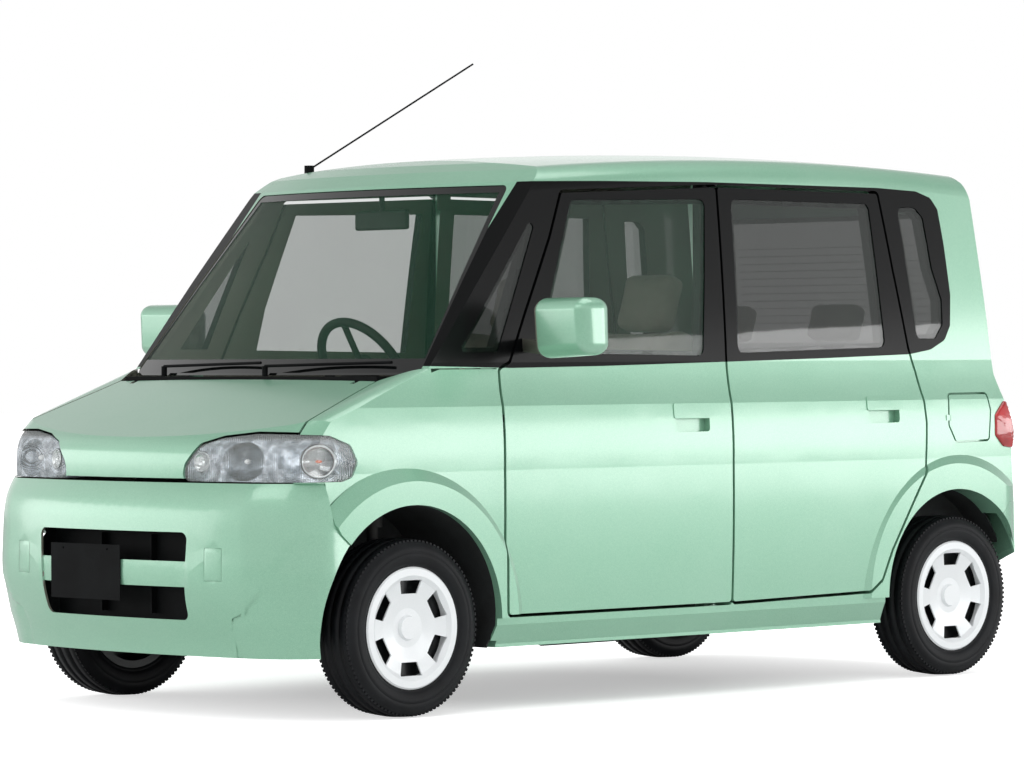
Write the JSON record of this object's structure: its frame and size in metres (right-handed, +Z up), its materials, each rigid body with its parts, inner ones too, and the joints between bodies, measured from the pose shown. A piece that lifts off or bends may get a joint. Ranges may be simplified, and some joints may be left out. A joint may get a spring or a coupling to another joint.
{
  "type": "kei car",
  "caption": "Tall compact five-door car with sloping short bonnet, upright tail, opening doors, lids, steering and wheels.",
  "frame": {"origin": "on the ground in the middle of the car's length and width", "axes": "+X to the car's left, +Y to the rear, +Z up; the front faces -Y"},
  "size_m": [2.09, 3.3943, 2.0511],
  "materials": {
    "body_paint": "glossy pale green metallic",
    "tinted_glass": "green tinted",
    "clear_lens": "clear moulded lens",
    "lamp_silver": "bright reflector",
    "red_lens": "red lens",
    "black_plastic": "fine grain black",
    "grey_plastic": "grained dark grey",
    "seat_fabric": "woven beige grey",
    "floor_metal": "dark satin",
    "dark_metal": "dull dark metal",
    "tyre_rubber": "black rubber",
    "silver_plastic": "silver white paint"
  },
  "bodies": {
    "body": {"underbody": "floor_metal", "body_side_left": "body_paint", "body_side_right": "body_paint", "front_fenders": "body_paint", "roof": "body_paint", "cowl": "black_plastic", "front_bumper": "body_paint", "rear_bumper": "body_paint", "grille": "black_plastic", "windscreen": "tinted_glass", "fixed_side_glass": "tinted_glass", "headlamps": "lamp_silver", "headlamp_lenses": "clear_lens", "tail_lamps": "red_lens", "dashboard": "grey_plastic", "front_seats": "seat_fabric", "rear_seat": "seat_fabric", "engine": "dark_metal", "front_suspension": "dark_metal", "rear_axle": "dark_metal", "exhaust": "dark_metal", "wipers": "black_plastic", "aerial": "black_plastic", "interior_mirror": "black_plastic"},
    "bonnet": {"bonnet": "body_paint"},
    "tailgate": {"tailgate": "body_paint", "tailgate_glass": "tinted_glass"},
    "fuel_lid": {"fuel_lid": "body_paint"},
    "steering_wheel": {"steering_wheel": "black_plastic"},
    "front_door_left": {"front_door_left": "body_paint", "front_door_glass_left": "tinted_glass", "door_mirror_left": "body_paint"},
    "rear_door_left": {"rear_door_left": "body_paint", "rear_door_glass_left": "tinted_glass"},
    "knuckle_left": {"knuckle_left": "dark_metal"},
    "wheel_front_left": {"tyre_front_left": "tyre_rubber", "wheel_front_left": "silver_plastic"},
    "wheel_rear_left": {"tyre_rear_left": "tyre_rubber", "wheel_rear_left": "silver_plastic"},
    "front_door_right": {"front_door_right": "body_paint", "front_door_glass_right": "tinted_glass", "door_mirror_right": "body_paint"},
    "rear_door_right": {"rear_door_right": "body_paint", "rear_door_glass_right": "tinted_glass"},
    "knuckle_right": {"knuckle_right": "dark_metal"},
    "wheel_front_right": {"tyre_front_right": "tyre_rubber", "wheel_front_right": "silver_plastic"},
    "wheel_rear_right": {"tyre_rear_right": "tyre_rubber", "wheel_rear_right": "silver_plastic"}
  },
  "joints": [
    {"name": "front_door_left_hinge", "type": "hinge", "parent": "body", "child": "front_door_left", "pos_m": [0.70632, -0.69386, 0.6], "axis": [0, 0, -1], "range_deg": [0, 67]},
    {"name": "rear_door_left_hinge", "type": "hinge", "parent": "body", "child": "rear_door_left", "pos_m": [0.7163, 0.29103, 0.6], "axis": [0, 0, -1], "range_deg": [0, 80]},
    {"name": "steering_left", "type": "hinge", "parent": "body", "child": "knuckle_left", "pos_m": [0.545, -1.1205, 0.266], "axis": [0, 0, 1], "range_deg": [-35, 35]},
    {"name": "front_wheel_left_spin", "type": "hinge", "parent": "knuckle_left", "child": "wheel_front_left", "pos_m": [0.65, -1.1205, 0.266], "axis": [1, 0, 0], "continuous": true},
    {"name": "rear_wheel_left_spin", "type": "hinge", "parent": "body", "child": "wheel_rear_left", "pos_m": [0.645, 1.3195, 0.266], "axis": [1, 0, 0], "continuous": true},
    {"name": "front_door_right_hinge", "type": "hinge", "parent": "body", "child": "front_door_right", "pos_m": [-0.70632, -0.69386, 0.6], "axis": [0, 0, 1], "range_deg": [0, 67]},
    {"name": "rear_door_right_hinge", "type": "hinge", "parent": "body", "child": "rear_door_right", "pos_m": [-0.7163, 0.29103, 0.6], "axis": [0, 0, 1], "range_deg": [0, 80]},
    {"name": "steering_right", "type": "hinge", "parent": "body", "child": "knuckle_right", "pos_m": [-0.545, -1.1205, 0.266], "axis": [0, 0, 1], "range_deg": [-35, 35]},
    {"name": "front_wheel_right_spin", "type": "hinge", "parent": "knuckle_right", "child": "wheel_front_right", "pos_m": [-0.65, -1.1205, 0.266], "axis": [1, 0, 0], "continuous": true},
    {"name": "rear_wheel_right_spin", "type": "hinge", "parent": "body", "child": "wheel_rear_right", "pos_m": [-0.645, 1.3195, 0.266], "axis": [1, 0, 0], "continuous": true},
    {"name": "bonnet_hinge", "type": "hinge", "parent": "body", "child": "bonnet", "pos_m": [0, -1.16245, 0.98704], "axis": [-1, 0, 0], "range_deg": [0, 55]},
    {"name": "tailgate_hinge", "type": "hinge", "parent": "body", "child": "tailgate", "pos_m": [0, 1.46618, 1.68226], "axis": [1, 0, 0], "range_deg": [0, 78]},
    {"name": "fuel_lid_hinge", "type": "hinge", "parent": "body", "child": "fuel_lid", "pos_m": [0.71849, 1.29966, 0.857], "axis": [0, 0, -1], "range_deg": [0, 90]},
    {"name": "steering_wheel_turn", "type": "hinge", "parent": "body", "child": "steering_wheel", "pos_m": [-0.35, -0.35, 1.024], "axis": [0, 0.866, 0.5], "range_deg": [-600, 600]}
  ],
  "couplings": [
    {"joint": "steering_right", "follows": "steering_left", "ratio": 1},
    {"joint": "steering_wheel_turn", "follows": "steering_left", "ratio": 17}
  ]
}
